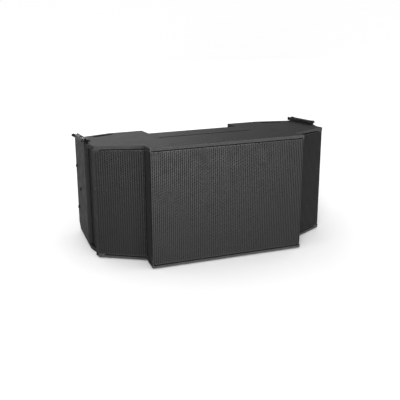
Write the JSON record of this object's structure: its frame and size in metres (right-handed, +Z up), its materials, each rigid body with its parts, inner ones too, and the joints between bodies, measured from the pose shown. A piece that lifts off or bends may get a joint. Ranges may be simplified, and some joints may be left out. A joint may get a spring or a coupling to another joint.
{
  "type": "line array speaker",
  "caption": "Wedge-shaped line array loudspeaker module with grilled wings, side rigging plates and swing links.",
  "frame": {"origin": "centre of the bounding box on the plane that the floor panel rests on", "axes": "+X to the right seen from the front, +Y from the grilles towards the rear, +Z up; the front face leans back by half the wedge angle"},
  "size_m": [1.0156, 0.5338, 0.4688],
  "materials": {
    "textured_paint_on_plywood": "fine textured charcoal paint on birch plywood",
    "bare_plywood": "sanded plywood",
    "acoustic_foam": "open-cell black foam",
    "perforated_steel": "perforated sheet steel, satin charcoal powder coat",
    "painted_steel": "satin charcoal powder coat",
    "black_steel": "black oxide",
    "moulded_plastic": "fine moulded texture",
    "cast_aluminium": "black painted casting",
    "ferrite_magnet": "ground grey ferrite between zinc plated steel plates",
    "paper_cone": "ribbed black paper pulp",
    "rubber_surround": "smooth rubber",
    "circuit_board": "green lacquer with copper coils and capacitors"
  },
  "bodies": {
    "cabinet": {"centre_grille": "perforated_steel", "centre_grille_foam": "acoustic_foam", "compression_driver_1": "cast_aluminium", "compression_driver_2": "cast_aluminium", "compression_driver_3": "cast_aluminium", "compression_driver_4": "cast_aluminium", "crossover_board": "circuit_board", "floor_panel": "textured_paint_on_plywood", "input_connector": "moulded_plastic", "input_plate": "painted_steel", "left_cheek": "textured_paint_on_plywood", "left_grille": "perforated_steel", "left_grille_foam": "acoustic_foam", "left_handle_pocket": "moulded_plastic", "left_notch_wall": "textured_paint_on_plywood", "left_plate_bolt_1": "black_steel", "left_plate_bolt_2": "black_steel", "left_plate_bolt_3": "black_steel", "left_rail": "black_steel", "left_rear_corner_wall": "textured_paint_on_plywood", "left_rear_wall": "textured_paint_on_plywood", "left_side_plate": "painted_steel", "left_side_wall": "textured_paint_on_plywood", "left_waveguide_panel": "moulded_plastic", "left_woofer_baffle": "bare_plywood", "left_woofer_frame": "cast_aluminium", "left_woofer_magnet": "ferrite_magnet", "left_woofer_surround": "rubber_surround", "link_connector": "moulded_plastic", "middle_rear_wall": "textured_paint_on_plywood", "right_cheek": "textured_paint_on_plywood", "right_grille": "perforated_steel", "right_grille_foam": "acoustic_foam", "right_handle_pocket": "moulded_plastic", "right_notch_wall": "textured_paint_on_plywood", "right_plate_bolt_1": "black_steel", "right_plate_bolt_2": "black_steel", "right_plate_bolt_3": "black_steel", "right_rail": "black_steel", "right_rear_corner_wall": "textured_paint_on_plywood", "right_rear_wall": "textured_paint_on_plywood", "right_side_plate": "painted_steel", "right_side_wall": "textured_paint_on_plywood", "right_waveguide_panel": "moulded_plastic", "right_woofer_baffle": "bare_plywood", "right_woofer_frame": "cast_aluminium", "right_woofer_magnet": "ferrite_magnet", "right_woofer_surround": "rubber_surround", "roof_panel": "textured_paint_on_plywood", "throat_manifold": "cast_aluminium"},
    "left_front_link": {"left_front_link": "black_steel"},
    "left_front_pin": {"left_front_pin": "black_steel"},
    "left_rear_link": {"left_rear_link": "black_steel"},
    "left_rear_pin": {"left_rear_pin": "black_steel"},
    "left_woofer_cone": {"left_woofer_cone": "paper_cone"},
    "right_front_link": {"right_front_link": "black_steel"},
    "right_front_pin": {"right_front_pin": "black_steel"},
    "right_rear_link": {"right_rear_link": "black_steel"},
    "right_rear_pin": {"right_rear_pin": "black_steel"},
    "right_woofer_cone": {"right_woofer_cone": "paper_cone"}
  },
  "joints": [
    {"name": "left_front_link_swing", "type": "hinge", "parent": "cabinet", "child": "left_front_link", "pos_m": [-0.48925, 0.05962, 0.42956], "axis": [1, 0, 0], "range_deg": [0, 90]},
    {"name": "left_front_pin_pull", "type": "slide", "parent": "cabinet", "child": "left_front_pin", "axis": [-1, 0, 0], "range_m": [0, 0.024]},
    {"name": "left_rear_link_swing", "type": "hinge", "parent": "cabinet", "child": "left_rear_link", "pos_m": [-0.48925, 0.18978, 0.40754], "axis": [-1, 0, 0], "range_deg": [0, 90]},
    {"name": "left_rear_pin_pull", "type": "slide", "parent": "cabinet", "child": "left_rear_pin", "axis": [-1, 0, 0], "range_m": [0, 0.024]},
    {"name": "left_woofer_cone_travel", "type": "slide", "parent": "cabinet", "child": "left_woofer_cone", "axis": [-0.4324, -0.8985, 0.0755], "range_m": [-0.006, 0.006], "stiffness_N_per_m": 4000, "deforming": ["left_woofer_surround"]},
    {"name": "right_front_link_swing", "type": "hinge", "parent": "cabinet", "child": "right_front_link", "pos_m": [0.48925, 0.05962, 0.42956], "axis": [1, 0, 0], "range_deg": [0, 90]},
    {"name": "right_front_pin_pull", "type": "slide", "parent": "cabinet", "child": "right_front_pin", "axis": [1, 0, 0], "range_m": [0, 0.024]},
    {"name": "right_rear_link_swing", "type": "hinge", "parent": "cabinet", "child": "right_rear_link", "pos_m": [0.48925, 0.18978, 0.40754], "axis": [-1, 0, 0], "range_deg": [0, 90]},
    {"name": "right_rear_pin_pull", "type": "slide", "parent": "cabinet", "child": "right_rear_pin", "axis": [1, 0, 0], "range_m": [0, 0.024]},
    {"name": "right_woofer_cone_travel", "type": "slide", "parent": "cabinet", "child": "right_woofer_cone", "axis": [0.4324, -0.8985, 0.0755], "range_m": [-0.006, 0.006], "stiffness_N_per_m": 4000, "deforming": ["right_woofer_surround"]}
  ]
}
